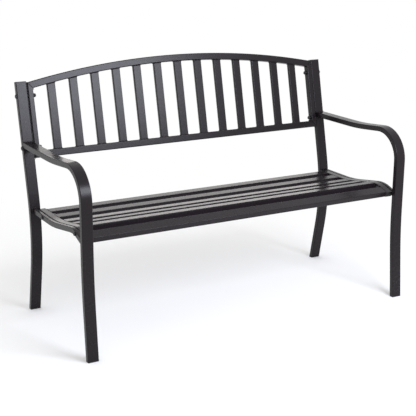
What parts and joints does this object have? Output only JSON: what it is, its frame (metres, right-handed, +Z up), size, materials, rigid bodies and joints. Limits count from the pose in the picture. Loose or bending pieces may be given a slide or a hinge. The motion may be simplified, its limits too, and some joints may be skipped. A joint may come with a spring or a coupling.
{
  "type": "garden bench",
  "caption": "Slatted steel garden bench for two, with an arched upright-slat back, bent tube arms that run on as front legs, and a slatted seat.",
  "frame": {"origin": "on the ground, under the middle of the bench's box", "axes": "+X to the right of a person looking at the bench's front, +Y from its front to its back, +Z up"},
  "size_m": [1.278, 0.6158, 0.8774],
  "materials": {
    "powder_coat": "semi-gloss dark powder coat on steel tube",
    "black_plastic": "moulded black plastic",
    "spacer_nylon": "black nylon",
    "black_zinc": "black plated steel fasteners"
  },
  "bodies": {
    "root": {"arm_leg_tube_left": "powder_coat", "arm_leg_tube_right": "powder_coat", "backrest_bolts": "black_zinc", "backrest_bottom_rail": "powder_coat", "backrest_cap_nuts": "black_zinc", "backrest_slat_01": "powder_coat", "backrest_slat_02": "powder_coat", "backrest_slat_03": "powder_coat", "backrest_slat_04": "powder_coat", "backrest_slat_05": "powder_coat", "backrest_slat_06": "powder_coat", "backrest_slat_07": "powder_coat", "backrest_slat_08": "powder_coat", "backrest_slat_09": "powder_coat", "backrest_slat_10": "powder_coat", "backrest_slat_11": "powder_coat", "backrest_slat_12": "powder_coat", "backrest_slat_13": "powder_coat", "backrest_spacers": "spacer_nylon", "backrest_stile_left": "powder_coat", "backrest_stile_right": "powder_coat", "backrest_top_rail": "powder_coat", "backrest_washers": "black_zinc", "front_foot_plug_left": "black_plastic", "front_foot_plug_right": "black_plastic", "post_cap_left": "black_plastic", "post_cap_right": "black_plastic", "rear_foot_plug_left": "black_plastic", "rear_foot_plug_right": "black_plastic", "rear_post_left": "powder_coat", "rear_post_right": "powder_coat", "seat_bolts": "black_zinc", "seat_cap_nuts": "black_zinc", "seat_rail_front_plug_left": "black_plastic", "seat_rail_front_plug_right": "black_plastic", "seat_rail_left": "powder_coat", "seat_rail_rear_plug_left": "black_plastic", "seat_rail_rear_plug_right": "black_plastic", "seat_rail_right": "powder_coat", "seat_slat_1": "powder_coat", "seat_slat_2": "powder_coat", "seat_slat_3": "powder_coat", "seat_slat_4": "powder_coat", "seat_slat_5": "powder_coat", "seat_slat_6": "powder_coat", "seat_spacers": "spacer_nylon", "seat_washers": "black_zinc", "side_stretcher_left": "powder_coat", "side_stretcher_right": "powder_coat"}
  },
  "joints": []
}
